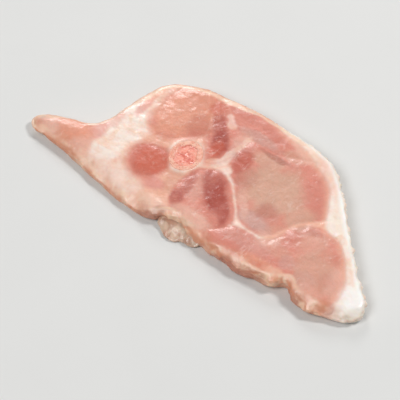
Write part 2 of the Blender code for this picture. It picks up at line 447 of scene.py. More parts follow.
# %% Thickness, lift and sag
def thickness_share(x, y):
    finger = 0.26 * smooth_step(-38.0, -70.0, x)
    tail = 0.14 * smooth_step(85.0, 113.0, x)
    near_left = 0.26 * smooth_step(-16.0, -33.0, y) * smooth_step(16.0, -8.0, x)
    wave = 0.03 * np.sin(x / 13.0 + 0.8) + 0.03 * np.sin(y / 9.0 - x / 31.0)
    return 1.0 - finger - tail - near_left + wave


def tail_edge(x, y):
    """1 along the near edge of the tail, which is thinner than the rest."""
    return smooth_step(-25.0, -34.0, y) * smooth_step(79.0, 88.0, x)


def lift(x, y):
    """How far the underside is off the table: only the finger, the tail and one corner curl up."""
    finger = 3.0 * smooth_step(-46.0, -71.0, x)
    shoulder = 0.8 * smooth_step(-26.0, -40.0, x) * smooth_step(8.0, 30.0, y)
    tail = 0.7 * smooth_step(100.0, 113.0, x) + 1.2 * tail_edge(x, y)
    return finger + shoulder + tail


def sag(points):
    """How far the top sinks towards the slice's edge."""
    uneven = np.clip(0.5 + 0.9 * fractal(points, 15.0, 2, 21.0), 0.0, 1.0)
    near = smooth_step(-14.0, -26.0, points[:, 1])
    thin_edge = smooth_step(-8.0, -20.0, points[:, 1]) * smooth_step(8.0, -6.0, points[:, 0])
    most = (1.0 + 1.4 * near) * uneven + 0.9 * thin_edge + 1.4 * tail_edge(points[:, 0], points[:, 1])
    return most * smooth_step(6.0, -0.5, signed_distance(points, slice_loop))


print("the finger's tip is", round(THICKNESS * float(thickness_share(-68.0, -20.0)), 1), "mm thick")

# %% [markdown]
# ## The bone's oval
#
# A thigh bone is nearly round, but the saw crosses it at a slant, so the cut is an oval that is turned a
# little. The same oval serves four times: as the hole in the flesh, as the outside and the inside of the
# ring, and as the marrow. Near it the flesh rises to the bone's height, which holds it up.

# %% The bone's oval
BONE_RADII = (7.4, 8.9)
BONE_TURN = 12.0  # degrees
BONE_POINTS = 16


def bone_oval(grow=0.0):
    """Points round the turned oval of the bone, grown or shrunk by some millimetres."""
    turn = math.radians(BONE_TURN)
    loop = []
    for angle in np.radians(np.arange(0.0, 360.0, 360 / BONE_POINTS)):
        x, y = (BONE_RADII[0] + grow) * math.cos(angle), (BONE_RADII[1] + grow) * math.sin(angle)
        loop.append((x * math.cos(turn) - y * math.sin(turn), x * math.sin(turn) + y * math.cos(turn)))
    return loop


def outside_bone(points):
    """About how far a point is outside the bone's oval, in millimetres."""
    return -sum(BONE_RADII) / 2 * oval_depth(points, Oval(0, 0, *BONE_RADII, BONE_TURN))


print("the bone's oval has", len(bone_oval()), "points")

# %% [markdown]
# ## Swollen muscles
#
# Raw muscle relaxes once it is cut and swells up between its tight seams, like a quilt, and that
# swelling catches the light. It could be painted as bump, but only real height changes the outline and
# the shadows. So each point of the flat slab is moved: up by its muscle's swelling, down along the
# seams, and by a little noise everywhere. The sides are pushed in or out by a rule of their own.

# %% Shaping a flat slab
SWELL = 0.6  # of a muscle's middle above its edge, in millimetres
SWELL_WIDTH = 3.6
SEAM_DEPTH, SEAM_WIDTH = 0.3, 1.1
FAT_LUMPS = 0.25
BONE_STANDS = 0.15  # how far the bone stands out of the flesh
FACE_BELOW = 0.35  # the muscles' edges, below the full thickness


def shape_slab(mesh, ragged):
    """Gives a flat fine slab its uneven thickness, its swollen muscles and its ragged edge."""
    points = points_of(mesh)
    x, y, z = points.T
    height = (z - z.min()) / (z.max() - z.min())
    here = read_map(points)
    swell = SWELL * (1 - np.exp(-np.clip(here.inside + 0.8, 0.0, None) / SWELL_WIDTH))
    groove = SEAM_DEPTH * here.near_both * np.exp(-(here.seam / SEAM_WIDTH) ** 2)
    swell -= groove * (0.3 + 0.7 * here.white)
    fine = 0.14 * fractal(points, 6.0, 3, 1.0) + 0.06 * fractal(points, 2.0, 2, 5.0)
    lumps = FAT_LUMPS * here.fat * fractal(points, 5.5, 2, 31.0)
    top = THICKNESS * thickness_share(x, y) - FACE_BELOW + swell + fine + lumps - sag(points)
    top += smooth_step(3.5, 0.2, outside_bone(points)) * (BONE_TOP - BONE_STANDS - top)
    under = lift(x, y) + 0.25 * (SWELL - swell) + 0.5 * np.abs(fine)
    points[:, 2] = under + height * (top - under)
    set_points(mesh, points)
    normals = normals_of(mesh)
    sideways = smooth_step(0.2, 0.9, np.hypot(normals[:, 0], normals[:, 1]))
    points[:, :2] += normals[:, :2] * (ragged(points) * sideways)[:, None]
    set_points(mesh, points)
    return points, sideways


def torn_edge(points):
    """The near edge, where the skin was pulled off, is the most ragged."""
    near = smooth_step(-18.0, -28.0, points[:, 1]) * smooth_step(0.0, 12.0, points[:, 0])
    large, small = fractal(points, 9.0, 2, 2.0), fractal(points * (1, 1, 1.6), 3.5, 3, 7.0)
    return (0.5 + 1.3 * near) * large + (0.25 + 0.45 * near) * small


print("a muscle swells by", SWELL, "mm, and a white seam is", SEAM_DEPTH, "mm deep")

# %% [markdown]
# ## The flesh
#
# Flesh and skin grow into each other, so no line may show where the two pieces meet. Two solids that
# only touch would show a dark crack. Here the flesh runs on inside the rim and sinks away below its
# surface, while the rim laps over the flesh and thins out, and both read the same map for their colour.

# %% The slab of muscles
UNDER_RIM = 3.0  # how far the flesh runs on inside the rim
OVER_FLESH = 2.4  # how far the rim laps over the flesh
BONE_LAP = 0.5  # how far the flesh laps over the bone's wall
FLESH_SINKS = 0.6  # how deep the flesh lies under the rim


def tucked(mesh, points, from_joint, depth):
    """Sinks a surface along its normals, by a depth in millimetres that grows away from the joint."""
    from_rim = signed_distance(points, rim_loop)
    return points - (depth * smooth_step(0.0, from_joint, from_rim))[:, None] * normals_of(mesh)


flesh_mesh = fine_solid(plain_slab.copy(), [
    (through([RIM_REGION], -UNDER_RIM), "DIFFERENCE"), (through([bone_oval(-BONE_LAP)]), "DIFFERENCE")])
flesh_points, flesh_side = shape_slab(flesh_mesh, torn_edge)
flesh_points = tucked(flesh_mesh, flesh_points, 0.8 * UNDER_RIM, FLESH_SINKS)
print("the flesh has", len(flesh_points), "points and is", flesh_points[:, 2].max().round(1), "mm high")

# %% [markdown]
# ## Tones
#
# No two muscles have the same colour. Those that work hardest lie near the bone and are dark red, the
# big ones are tan or peach, and wet membranes look mauve. Painting a texture would fix all of this in an
# image. Soft ovals keep it as numbers, one list for each tone, and each list becomes a mask on the mesh.

# %% The tones and where they lie
TONES = {
    "peach": (
        (-16, 22, 18, 23), (-52, -19, 26, 12, -14), (92, -29, 12, 6, 0, 0.5),
        (62, -31, 13, 4.2, 4, 0.8),
    ),
    "tan": (
        (43, 6, 20, 17, -35), (61, 1, 10, 9, 0, 0.8), (32, 19, 13, 6, 0, 0.8),
        (40, 28.6, 7.5, 4.6, 0, 0.6), (84, -18, 16, 13, -30, 0.7), (75, -8, 12, 9, -20, 0.45),
        (58, -15, 7, 9, 0, 0.5), (80, -21, 5, 6.5, -20, 0.6), (65, -20, 6, 5, 0, 0.4),
    ),
    "mauve": (
        (46, -12.4, 11, 5, -10), (22, 27.4, 13, 3.4, -2, 0.7), (14.5, -11, 7, 9, 10, 0.35),
        (15.6, 16, 3.6, 10, 0, 0.5), (52, -24, 16, 5, 0, 0.4), (72, -23, 5, 5, 0, 0.5),
        (84, -27, 7, 5, 0, 0.4),
    ),
    "pale": (
        (-64, -20.6, 11, 8, -14), (-40, -23, 9, 8, 0, 0.8), (-48, -27.2, 16, 3.2, -6, 0.7),
        (75, -4, 10, 6, 0, 0.3), (88, -8, 7, 7, -30, 0.3), (42, 34.5, 11, 5.5, -20, 0.9),
        (23, -27, 13, 5, 0, 0.9), (16.6, -15.6, 3.2, 12, 28, 0.3), (15, 22, 5, 6, 0, 0.5),
        (97, -20, 7, 12, 25, 0.6), (89, -31, 9, 4, 0, 0.5), (57, -17, 6, 4.5, 0, 0.5),
        (66, -1, 7, 3.6, 30, 0.2), (37, -7, 11, 2.8, -50, 0.6),
    ),
    "red": (
        (-11.4, -10, 11.6, 11.4, 8, 0.52), (7.4, 15.4, 4.4, 10, 26, 1.05),
        (1.4, 23.4, 4.2, 9, 34, 0.75), (-5, 31, 4.6, 5, 0, 0.4), (-5.4, 16.6, 7, 9, 20, 0.38),
        (22.4, 13, 5.4, 9.5, 6, 0.66), (30, 5.4, 7, 8, 20, 0.32), (48.3, -4.7, 7, 5.5, 0, 0.45),
        (61, 15, 17, 6, -52, 0.08), (-14, 31, 11, 7, 0, 0.13), (11, -13, 3.4, 10, 8, 0.5),
        (10.4, -20.8, 4.4, 5.4, 14, 0.9), (23.4, -9.8, 6.8, 17.5, 36), (31.6, -15.6, 3.8, 12, 36, 0.9),
        (66.4, -9, 4.4, 9, -20, 0.16), (70.6, -2.2, 7, 2.4, 16, 0.34), (91, -21, 4, 6, 0, 0.16),
        (88.6, -9, 3.4, 3.8, 0, 0.16), (44, -26, 12, 5, 0, 0.14), (8, 35, 7, 3.6, 0, 0.2),
        (26, 33, 8.5, 3.6, -4, 0.18),
    ),
    "ember": (
        (-11.2, -10.4, 11.4, 10.4, 0, 0.66), (-5, 31, 4.6, 4.6, 0, 0.5), (8.6, 10.6, 3.4, 6, 10, 0.5),
        (22.4, 13, 4.6, 8, 6, 0.3), (87.3, -9, 7, 6, 0, 0.25), (62.3, -32.4, 5.6, 3.2, 4, 0.5),
    ),
    # painted shade: the dark crevices along the top of the round muscle, the crease above the scrap, and
    # a faint darker patch by the bone
    "crease_shade": (
        (32.6, 22.8, 10.5, 1.9, -3, 0.6), (35.4, 22.4, 4.8, 2.2, -8, 0.66),
        (3.4, -14.5, 4.5, 9, 10, 0.22), (8.6, -32, 5, 3, 40),
    ),
    # painted shade: stretches of the near side that are shaded a darker brown
    "side_shadow": (
        (57, -36.5, 17, 6), (5.6, -33.5, 7, 5), (84, -34, 7, 4, 0, 0.8),
    ),
    "flush": (
        (-3, -20.6, 6.4, 4.6, 10), (-41, -10, 4.4, 9, 0, 0.8), (-38, 0, 3.4, 8, 0, 0.45),
        (-32.6, 13, 2.6, 9, 0, 0.7), (4.2, 28.4, 5, 3, -52, 0.45), (58, 30.6, 17, 6, -40, 0.34),
        (103.6, -33, 8.5, 4.8, -10, 0.85),
    ),
    # the whitest fat at the tail's tip, and painted highlights on two small spots by the bone
    "white_tip_and_glare": (
        (108.4, -22.4, 11, 8.4, -30, 0.75), (9.8, 0.6, 2.4, 2, 0, 0.1), (19.8, 3.6, 2.6, 2.6, 0, 0.1),
    ),
    "white": (
        (-33, -7, 14, 27), (-36.6, 20, 4, 20, -10, 0.5), (-28.8, 22, 3.2, 13, 0, 0.7),
        (-20, -26, 19, 10, -10, 0.66), (-2, -30, 15, 5, 0, 0.4), (22, 0, 9, 10, 0, 0.6),
        (31, -8.6, 21, 6, -52), (45, -18.4, 13, 5, -2), (15.6, 14, 4.6, 15, -8, 0.7),
        (4.2, 28.4, 6, 3, -52, 0.8),
    ),
}
print("the tones are", ", ".join(TONES))

# %% [markdown]
# ## What a finish can read
#
# A material knows only the point that it shades. Everything it needs is therefore stored on the mesh: the
# tones, the share of fat, the distances from the edge and from the rim, and how much a point belongs to
# the side. The crest is a cream band along the top of the cut edge: partly the membrane that a muscle's
# outside shows there, partly a painted highlight, which is why it is twice as wide along the far edge. It
# comes and goes, so its width follows noise. A thin white sheath runs round the bone.

# %% Storing the tones
SHEATH_OUT, SHEATH_WIDTH = 0.7, 1.0  # where the bone's sheath lies and how wide it is
CREST_WIDTH = 1.5
FARTHEST = 12.0  # distances beyond this are all alike to the finishes


def store_tones(mesh, points, sideways):
    """Keeps all that the finishes read on the mesh."""
    here = read_map(points)
    uneven = 0.2 * fractal(points, 7.0, 3, 11.0)
    tones = {name: soft_ovals(here.place, ovals, uneven) for name, ovals in TONES.items()}
    sheath = np.exp(-((outside_bone(points) - SHEATH_OUT) / SHEATH_WIDTH) ** 2)
    sheath *= smooth_step(-0.3, 0.3, uneven)
    edge, rim = signed_distance(points, slice_loop), signed_distance(points, rim_loop)
    tones["white"] = np.maximum.reduce([tones["white"], sheath, smooth_step(-2.0, 0.8, rim)])
    # partly a painted highlight, so the crest grows to twice its width along the far edge
    crest_width = CREST_WIDTH * (1 + smooth_step(5.0, 25.0, points[:, 1]))
    crest_width += 1.6 * fractal(points, 11.0, 2, 17.0)
    crest = smooth_step(1.6, 0.0, edge - crest_width) * smooth_step(4.0, 0.0, rim)
    store(mesh, fat=here.fat, edge=np.clip(edge, -2.0, FARTHEST), rim=np.clip(rim, -FARTHEST, FARTHEST),
          side=sideways, crest=crest, **tones)


store_tones(flesh_mesh, flesh_points, flesh_side)
print("the flesh keeps", len(TONES) + 5, "numbers for each point")

# %% [markdown]
# ## A piece takes its place
#
# The sculpted mesh is still around the bone's centre. Moving it to where the frame has its bone puts it
# exactly in the plain part's place. Then it is tied to the slice's body, and it hides the plain part that
# it stands for.

# %% The flesh comes into the scene
def stand_in_scene(name, mesh, points, replaced):
    """Puts a sculpted mesh into the scene, in the frame's own metres, in place of a plain part."""
    set_points(mesh, points + BONE)
    mesh.shade_smooth()
    piece = bpy.data.objects.new(name, mesh)
    bpy.context.scene.collection.objects.link(piece)
    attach(piece, "root")
    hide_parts(replaced)
    print(name, "has", len(mesh.polygons), "faces")
    return piece


flesh = stand_in_scene("flesh", flesh_mesh, flesh_points, "thigh_flesh")

# %% [markdown]
# ## Shader maths as expressions
#
# A material is a formula, and nodes are one way to write it. Wiring dozens of Math nodes by hand hides
# what they add up to. Wrapping each socket in a small class lets the formula be written as one: adding or
# multiplying two values adds the Math node that does it, and 1 - mask works as well.

# %% A value of a finish
class Value:
    """One output socket of a finish, which expressions can use as a number."""

    def __init__(self, finish, socket):
        self.finish = finish
        self.socket = socket

    def calculate(self, operation, *values):
        return self.finish.node("ShaderNodeMath", {"operation": operation}, dict(enumerate(values)))

    def __add__(self, other):
        return self.calculate("ADD", self, other)

    def __sub__(self, other):
        return self.calculate("SUBTRACT", self, other)

    def __rsub__(self, other):
        return self.calculate("SUBTRACT", other, self)

    def __mul__(self, other):
        return self.calculate("MULTIPLY", self, other)

    def or_more(self, other):
        return self.calculate("MAXIMUM", self, other)

    __radd__ = __add__
    __rmul__ = __mul__


def colour(red, green, blue):
    """A colour given by its 0 to 255 display values, as the shader's linear values."""
    return (*[((value / 255 + 0.055) / 1.055) ** 2.4 for value in (red, green, blue)], 1.0)


print("a middle grey is", [round(value, 3) for value in colour(128, 128, 128)], "to the shader")

# %% [markdown]
# ## The finish helper
#
# All the finishes here are moist: light goes a little way into them, and a thin wet film lies on top.
# The Principled shader has both, as subsurface scattering and as coat. The helper sets what is the same
# everywhere on the shader's own sockets, and builds what varies from noise, cells and stored masks, all
# in millimetres.

# %% A finish
class Finish:
    """A material with one Principled shader, and the nodes that vary it over a surface."""

    def __init__(self, name, **constants):
        self.material = bpy.data.materials.new(name)
        self.material.use_nodes = True
        self.tree = self.material.node_tree
        self.shader = self.tree.nodes["Principled BSDF"]
        for socket, value in constants.items():
            self.shader.inputs[socket.replace("_", " ").title()].default_value = value
        place = self.node("ShaderNodeTexCoord", output="Object")
        self.place = self.node("ShaderNodeVectorMath", {"operation": "SCALE"}, {0: place, 3: 1 / MM})

    def node(self, kind, settings=None, sockets=None, output=0):
        """Adds a node: its settings, then its sockets' values or links. Gives one of its outputs."""
        made = self.tree.nodes.new(kind)
        for name, value in (settings or {}).items():
            setattr(made, name, value)
        for name, value in (sockets or {}).items():
            if isinstance(value, Value):
                self.tree.links.new(value.socket, made.inputs[name])
            else:
                made.inputs[name].default_value = value
        return Value(self, made.outputs[output])

    def stored(self, name):
        """A number that was kept on the mesh's points."""
        return self.node("ShaderNodeAttribute", {"attribute_name": name}, output="Fac")

    def height(self):
        """How high a point is above the table, in millimetres."""
        return self.node("ShaderNodeSeparateXYZ", {}, {0: self.place}, "Z")

    def stretched(self, x, y, z):
        """The place in millimetres, scaled by a factor along each axis."""
        return self.node("ShaderNodeVectorMath", {"operation": "MULTIPLY"}, {0: self.place, 1: (x, y, z)})

    def wandering(self, amount, size, place=None):
        """A place that is pushed about at random by up to an amount in millimetres."""
        push = self.node("ShaderNodeTexNoise", {}, {"Vector": self.place, "Scale": 1 / size}, "Color")
        return self.node("ShaderNodeVectorMath", {"operation": "MULTIPLY_ADD"},
                         {0: push, 1: (amount, amount, amount), 2: place or self.place})

    def noise(self, size, detail=3.0, distortion=0.0, place=None):
        """Noise from 0 to 1 with grains of a size in millimetres."""
        return self.node("ShaderNodeTexNoise", {}, {
            "Vector": place or self.place, "Scale": 1 / size, "Detail": detail, "Distortion": distortion})

    def cells(self, size, feature="F1", place=None):
        """A mosaic of cells of a size in millimetres: 0 at each cell's middle, more towards its edge."""
        return self.node("ShaderNodeTexVoronoi", {"feature": feature},
                         {"Vector": place or self.place, "Scale": 1 / size})

    def ramp(self, value, low, high):
        """0 at the low value, 1 at the high one, smooth between. It runs down if low is above high."""
        return self.node("ShaderNodeMapRange", {"interpolation_type": "SMOOTHSTEP"},
                         {"Value": value, "From Min": low, "From Max": high})

    def blend(self, under, over, share):
        """The colour over laid on the colour under, by a share from 0 to 1."""
        return self.node("ShaderNodeMix", {"data_type": "RGBA"}, {0: share, 6: under, 7: over}, output=2)

    def shade(self, under, factor):
        """A colour made lighter or darker by a factor that varies."""
        grey = self.node("ShaderNodeCombineColor", {}, {0: factor, 1: factor, 2: factor})
        return self.node("ShaderNodeMix", {"data_type": "RGBA", "blend_type": "MULTIPLY"},
                         {0: 1.0, 6: under, 7: grey}, output=2)

    def feed(self, **values):
        """Links values to the shader's own sockets."""
        for socket, value in values.items():
            self.tree.links.new(value.socket, self.shader.inputs[socket.replace("_", " ").title()])

    def bump(self, height, distance):
        """Raises the surface by up to a distance in millimetres where the height is 1."""
        sockets = {"Strength": 1.0, "Distance": distance * MM, "Height": height}
        self.feed(normal=self.node("ShaderNodeBump", {}, sockets))

    def put_on(self, piece):
        piece.data.materials.clear()
        piece.data.materials.append(self.material)
        print("the finish", self.material.name, "has", len(self.tree.nodes), "nodes")


DEPTH = 0.003  # how far light goes into flesh, in metres
FILM = 0.19  # roughness of the film of water
REDDEST = (1.0, 0.4, 0.25)  # red light goes the farthest


def moist(name, film=FILM, depth=DEPTH, **constants):
    """A finish that light enters by a few millimetres, under a film of water of some roughness."""
    return Finish(name, subsurface_weight=0.2, subsurface_scale=depth, subsurface_radius=REDDEST,
                  coat_roughness=film, **constants)


print("a moist finish scatters red light over", DEPTH / MM, "mm and blue over", DEPTH / MM * REDDEST[2])

# %% [markdown]
# ## The palette
#
# Raw turkey is pale pink, never grey: even its darkest muscle stays warm. The colours are named for what
# they stand for. Fat has a scale of its own, from the bright white under the skin to the blush of
# connective tissue between muscles, and the torn side goes from cream over orange to a brown that is
# painted shade. A few more colours are painted light: a brown for the shade in crevices and creases, a
# glaring white for highlights on the whitest fat, and a cream crest on the cut edge that is partly a
# highlight.

# %% The colours of flesh, fat and sides
PINK = colour(226, 145, 127)
PEACH = colour(233, 159, 132)
TAN = colour(221, 170, 147)
MAUVE = colour(216, 165, 152)
PALE = colour(239, 185, 166)
DEEP_RED = colour(177, 80, 66)
EMBER = colour(218, 106, 78)
# painted shade for crevices and creases
CREASE_SHADOW = colour(170, 96, 76)
WHITE_FAT = colour(252, 233, 221)
CREAM_FAT = colour(247, 215, 195)
BLUSH_FAT = colour(241, 183, 158)
FLUSH = colour(232, 162, 147)
RIM_FAT = colour(249, 231, 216)
# white of the tail's tip, and painted highlight on the fat
GLARE_WHITE = colour(255, 252, 248)
# cream of the edge's membrane, and partly a painted highlight
CREST_CREAM_AND_GLARE = colour(250, 214, 188)
LIGHT_SIDE = colour(250, 210, 178)
ORANGE_SIDE = colour(226, 148, 110)
# painted shade on the torn side, low down and in patches
SHADED_SIDE = colour(180, 108, 84)
print("the darkest red is", [round(value, 2) for value in DEEP_RED[:3]])

# %% [markdown]
# ## The colour of fat
#
# Fat isn't one white. It is patchy, from white over cream to a pink blush where it thins out over flesh,
# and it turns clean white towards the skin. A glaring white covers the fat at the tail's tip, and as a
# painted highlight it lies along the rim's outer edge and on two small spots by the bone. The same
# formula is used by the flesh and by the rim, so that no line shows where they meet.

# %% Fat
def fat_colour(m):
    patches, blush, uneven = m.noise(9.0, 3.0, 0.8), m.noise(5.0, 2.0, 1.2), m.noise(4.0)
    white = m.blend(WHITE_FAT, CREAM_FAT, m.ramp(patches, 0.42, 0.62))
    white = m.blend(white, BLUSH_FAT, 0.3 * m.ramp(blush, 0.5, 0.75))
    fat = m.blend(BLUSH_FAT, white, m.stored("white") * m.ramp(uneven, 0.0, 0.42))
    within = m.stored("rim") + 2.0 * m.noise(3.0)
    fat = m.blend(fat, RIM_FAT, m.ramp(within, 2.4, 5.6))
    fat = m.blend(fat, FLUSH, m.stored("flush"))
    # painted highlight: the rim's outer edge turns glaring white, and so do the marked spots
    edge_glare = m.ramp(m.stored("edge"), 3.8, 1.0) * m.ramp(within, 1.5, 4.0)
    fat = m.blend(fat, GLARE_WHITE, edge_glare * (1 - 0.7 * m.stored("flush")))
    return m.blend(fat, GLARE_WHITE, m.stored("white_tip_and_glare"))


print("fat's green is", round(WHITE_FAT[1], 2), "where it is white and", round(FLUSH[1], 2), "where pink")

# %% [markdown]
# ## The face of cut muscle
#
# A muscle is a bundle of bundles. Cut across, it shows a mosaic of fibres, each under a millimetre wide,
# in bundles of two or three, with threads of fat between. Plain Voronoi cells look like cracked glaze.
# Smooth ones on a place that wanders look like domes of soft tissue, which is what they are here. The
# tones are laid over each other, light ones first, and the mosaic only shades them.

# %% The cut face, shared by the flesh and the rim
FIBRE, BUNDLE = 0.8, 2.4  # millimetres across
RELIEF = 0.35  # height of the bump, in millimetres


def muscle_colour(m, mottle, fine_mottle, fibres, bundles):
    meat = PINK
    for tone, tint in (("peach", PEACH), ("tan", TAN), ("mauve", MAUVE), ("pale", PALE)):
        meat = m.blend(meat, tint, m.stored(tone))
    meat = m.blend(meat, DEEP_RED, m.stored("red") * m.ramp(mottle, 0.0, 0.6))
    meat = m.blend(meat, EMBER, m.stored("ember"))
    # painted shade in the grooves: darker towards the edges of fibres and bundles, where the bump sinks
    meat = m.shade(meat, 0.93 + 0.18 * mottle - 0.10 * fibres - 0.06 * bundles)
    between_fibres = m.ramp(fibres, 0.55, 0.8) * m.ramp(fine_mottle, 0.45, 0.65)
    meat = m.blend(meat, CREAM_FAT, 0.25 * between_fibres)
    streaks = m.noise(1.1, 3.0, 0.5, m.wandering(6.0, 14.0, m.stretched(0.55, 0.16, 0.3)))
    threads = m.ramp(streaks, 0.56, 0.70) * m.ramp(m.noise(7.0), 0.46, 0.62)
    return m.blend(meat, WHITE_FAT, 0.2 * threads)


def cut_face(m):
    """The colour of a cut face and its relief."""
    end_grain = m.wandering(1.6, 2.5, m.stretched(1.0, 1.0, 0.12))
    fibres = m.cells(FIBRE, "SMOOTH_F1", end_grain)
    bundles = m.cells(BUNDLE, "SMOOTH_F1", end_grain)
    mottle, fine_mottle = m.noise(8.0, 4.0, 0.4), m.noise(1.6, 3.0)
    fat = m.stored("fat").or_more(m.ramp(m.stored("rim") + 2.5 * mottle, -3.6, 2.6))
    surface = m.blend(muscle_colour(m, mottle, fine_mottle, fibres, bundles), fat_colour(m), fat)
    # painted shade in the crevices and creases
    surface = m.blend(surface, CREASE_SHADOW, m.stored("crease_shade"))
    # the crest: membrane along the cut edge, partly a painted highlight, shown mostly on the top
    surface = m.blend(surface, CREST_CREAM_AND_GLARE, 0.85 * m.stored("crest") * (1 - 0.7 * m.stored("side")))
    relief = 0.25 * fine_mottle + 1.6 * m.noise(5.0, 2.0) - (0.16 * fibres + 0.2 * bundles) * (1 - fat)
    return surface, relief


print("a bundle is about", round(BUNDLE / FIBRE), "fibres across")

# %% [markdown]
# ## The flesh's finish
#
# The top is the cut face. The side is torn rather than sawn: lumps of cream fat and orange membrane, with
# brown painted shade in patches between them, which grows towards the table and along a few stretches of
# the near side. Wetness comes in patches, so the coat and the roughness share one mask: where there is
# more coat, the surface under it is smoother.

# %% Raw muscle
m = moist("raw_muscle")
surface, relief = cut_face(m)
lumps = m.noise(8.0, 2.0, 0.5)
# painted shade on the side: brown in noise patches, more of it towards the table and along the marked
# stretches of the near side
shade_on_side = m.noise(3.0, 4.0, 0.6, m.stretched(0.6, 0.6, 1.6)) - 0.08 * m.height() + 0.22 * m.stored("side_shadow")
side = m.blend(ORANGE_SIDE, LIGHT_SIDE, m.ramp(lumps, 0.42, 0.58))
side = m.blend(side, SHADED_SIDE, m.ramp(shade_on_side, 0.0, 0.4) * (0.32 + 0.6 * m.stored("side_shadow")))
shown = 0.8 * m.stored("side") * (1 - 0.8 * m.stored("crease_shade"))
surface = m.blend(surface, side, shown * m.ramp(m.stored("rim"), 0.0, -3.0))
wet = m.ramp(m.noise(7.0), 0.3, 0.6)
m.feed(base_color=surface, roughness=0.52 - 0.16 * wet, coat_weight=0.08 + 0.36 * wet)
m.bump(relief, RELIEF)
m.put_on(flesh)

# %% [markdown]
# ## The skin's bumps
#
# The skin wraps the thigh's outer side, over a thick pad of white fat. Plucking leaves a small bump
# around each feather's root, three or four millimetres apart, which makes the rim look scalloped from
# above. They are real geometry, because a bump in the material can't change an outline. The nearest
# point of a Voronoi pattern is each bump's middle.

# %% Bumps along the skin
FEATHERS_APART = 3.7
BUMP_HEIGHT, BUMP_WIDTH = 1.4, 0.42
SKIN_WAVES, SKIN_SET_IN = 0.5, 0.45


def pimpled_edge(points):
    """How far the skin stands out: slow waves, and a round bump for each feather that was plucked."""
    nearest = np.array([noise.voronoi(p)[0][0] for p in (points / FEATHERS_APART).tolist()])
    bumps = BUMP_HEIGHT * np.exp(-(nearest / BUMP_WIDTH) ** 2)
    return SKIN_WAVES * fractal(points, 7.0, 2, 2.0) + bumps - SKIN_SET_IN


print("the skin has a bump about every", FEATHERS_APART, "mm")

# %% [markdown]
# ## The skin rim
#
# The rim is the other part of the same slab, cut by the same curve, so it is shaped by the same rules:
# only its side differs. It stands proud of the flesh by a hair, where the flesh is already sinking, and
# thins out as it laps over it.

# %% The band of skin and fat
LAP_DEPTH = 0.4  # how deep the rim's thin lip lies in the flesh
PROUD = 0.05
rim_mesh = fine_solid(plain_slab.copy(), [(through([RIM_REGION], OVER_FLESH), "INTERSECT")])
rim_points, rim_side = shape_slab(rim_mesh, pimpled_edge)
proud = PROUD + 0.08 * fractal(rim_points, 3.0, 2, 14.0)
rim_points = tucked(rim_mesh, rim_points + proud[:, None] * normals_of(rim_mesh), -OVER_FLESH, LAP_DEPTH)
rim_points[:, 2] = np.maximum(rim_points[:, 2], 0.0)
store_tones(rim_mesh, rim_points, rim_side)
rim = stand_in_scene("skin_rim", rim_mesh, rim_points, "skin_fat_rim")

# %% [markdown]
# ## The rim's finish
#
# Its top reads the same cut face as the flesh, which turns to white fat here by itself. Its outer side is
# skin: cream, a little darker in patches, with fine goose bumps on top of the large ones.

# %% Skin and fat
GOOSE_BUMP = 2.2  # millimetres across
m = moist("skin_and_fat")
surface, relief = cut_face(m)
soft = m.noise(5.0)
skin = m.blend(colour(251, 231, 212), colour(238, 202, 174), m.ramp(soft, 0.4, 0.75))
outer = m.stored("side") * m.ramp(m.stored("rim"), 0.0, 2.5)
m.feed(base_color=m.blend(surface, skin, 0.8 * outer), roughness=0.42 + 0.14 * soft,
       coat_weight=0.5 * soft)
m.bump(relief + 0.5 * (1 - m.cells(GOOSE_BUMP)) * outer, RELIEF)
m.put_on(rim)

# %% [markdown]
# ## The scrap of fat
#
# Under the near edge a scrap of fat and skin hangs out. It is softer and greyer than the rim, thick where
# it comes out of the slice and thin at its wrinkled lip. A thin slab with rounded edges is a good start:
# its far side is pushed about to wave the lip, and long folds run outwards over its top.

# %% The scrap of fat
SCRAP_THICKNESS, SCRAP_EDGE = 4.2, 1.8
SCRAP_GRAIN = 0.3
scrap_mesh = fine_solid(flat_slab([SCRAP_OUTLINE], SCRAP_THICKNESS, SCRAP_EDGE), spacing=SCRAP_GRAIN)
scrap_points = points_of(scrap_mesh)
outwards = smooth_step(-30.0, -38.5, scrap_points[:, 1])
folds = 0.6 * fractal(scrap_points * (1.0, 0.35, 0.6), 4.0, 2, 4.0)
folds += 0.1 * fractal(scrap_points, 1.8, 2, 1.0)
height = np.clip(scrap_points[:, 2] / SCRAP_THICKNESS, 0.0, 1.0)
scrap_points[:, 1] += 1.2 * fractal(scrap_points * (1.0, 0.2, 0.8), 5.0, 2, 7.0) * outwards
scrap_points[:, 2] *= 1.0 - 0.7 * outwards
scrap_points[:, 2] = np.maximum(scrap_points[:, 2] + folds * height, 0.0)
scrap = stand_in_scene("fat_scrap", scrap_mesh, scrap_points, "fat_lobe")

# %% [markdown]
# ## The scrap's finish
#
# Cream and tan in soft patches, with a pink stain where a little flesh still holds on to it, and wetter
# than the rest, because it lies where the juice runs. Both colours are kept darker and greyer than the
# rim's fat, partly as painted shade for the scrap's place under the slice's edge.

# %% Greyish fat, darkened by painted shade
m = moist("fat_scrap", 0.12, coat_weight=0.5)
soft, stain = m.noise(4.0, 2.0, 0.4), m.noise(4.5, 2.0)
# partly painted shade: both colours are kept darker than the rim's fat for the shade under the slice's
# edge
shaded_scrap_fat = m.blend(colour(224, 192, 168), colour(190, 144, 120), m.ramp(soft, 0.36, 0.68))
shaded_scrap_fat = m.blend(shaded_scrap_fat, colour(204, 130, 110), 0.3 * m.ramp(stain, 0.52, 0.70))
m.feed(base_color=shaded_scrap_fat, roughness=0.34 + 0.16 * soft)
m.bump(m.noise(2.4, 2.0), 0.25)
m.put_on(scrap)

# %% [markdown]
# ## The ring of bone
#
# The saw leaves a thigh bone as a ring of hard bone, a few millimetres thick. Its inside was spongy and
# is uneven, and its face is slightly chipped. A filled curve with two loops gives the ring, and noise
# moves its inner wall outwards and inwards from the bone's axis.

